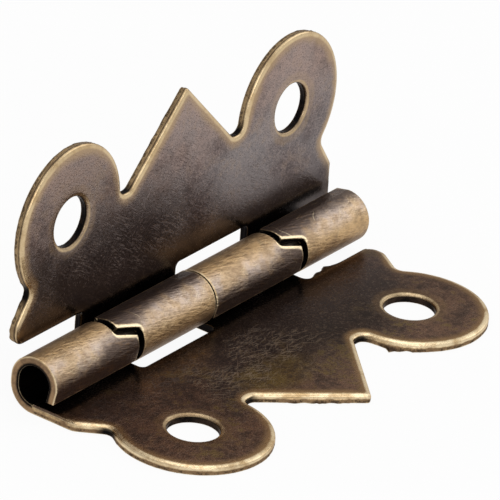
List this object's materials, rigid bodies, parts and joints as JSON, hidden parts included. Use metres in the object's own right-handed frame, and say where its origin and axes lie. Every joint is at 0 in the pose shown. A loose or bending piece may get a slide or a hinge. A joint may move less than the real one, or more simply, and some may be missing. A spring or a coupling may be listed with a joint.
{
  "type": "box hinge",
  "caption": "Small antique bronze box hinge with a built-in stop: sheet leaves with round screw lobes and a pointed tongue, stepped knuckles rolled from the sheet and a hidden wire pin",
  "frame": {"origin": "midway between the lower leaf's screw holes, on its mounting face", "axes": "+X along the pin, +Z out of the lower leaf's mounting plane towards the barrel, the lower leaf points to -Y"},
  "size_m": [0.03, 0.0149, 0.0144],
  "materials": {
    "bronzed_sheet": "antique bronze plating on sheet steel, rubbed to brass on the edges",
    "pin_wire": "plain drawn wire"
  },
  "bodies": {
    "lower": {"lower_leaf": "bronzed_sheet", "hinge_pin": "pin_wire"},
    "upper": {"upper_leaf": "bronzed_sheet"}
  },
  "joints": [
    {"name": "leaf_hinge", "type": "hinge", "parent": "lower", "child": "upper", "pos_m": [0, 0.0079, 0.0019], "axis": [-1, 0, 0], "range_deg": [-9.5, 88]}
  ]
}
